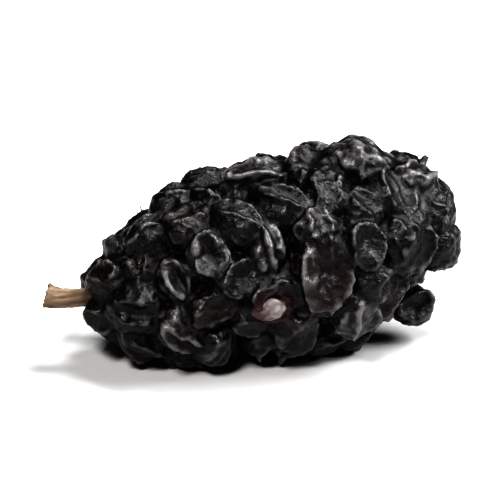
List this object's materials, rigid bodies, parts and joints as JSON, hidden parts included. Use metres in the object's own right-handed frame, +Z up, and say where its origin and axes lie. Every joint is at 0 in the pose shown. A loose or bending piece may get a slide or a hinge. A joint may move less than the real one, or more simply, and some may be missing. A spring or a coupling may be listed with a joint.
{
  "type": "dried mulberry",
  "caption": "Dried black mulberry lying on its side: a tapered cluster of shrivelled drupelets with a narrower lobe at its tip, and a short stem stub.",
  "frame": {"origin": "on the surface that the fruit lies on, under the middle of the whole part with its stem", "axes": "+X along the fruit from the stem to the tip, +Z up from the surface, -Y the side that the picture shows"},
  "size_m": [0.0253, 0.0128, 0.0127],
  "materials": {
    "fruit_skin": "near-black shrivelled skin, satin on the ridges",
    "dry_stem": "dry tan stem, matte"
  },
  "bodies": {
    "root": {"fruit": "fruit_skin", "stem": "dry_stem"}
  },
  "joints": []
}
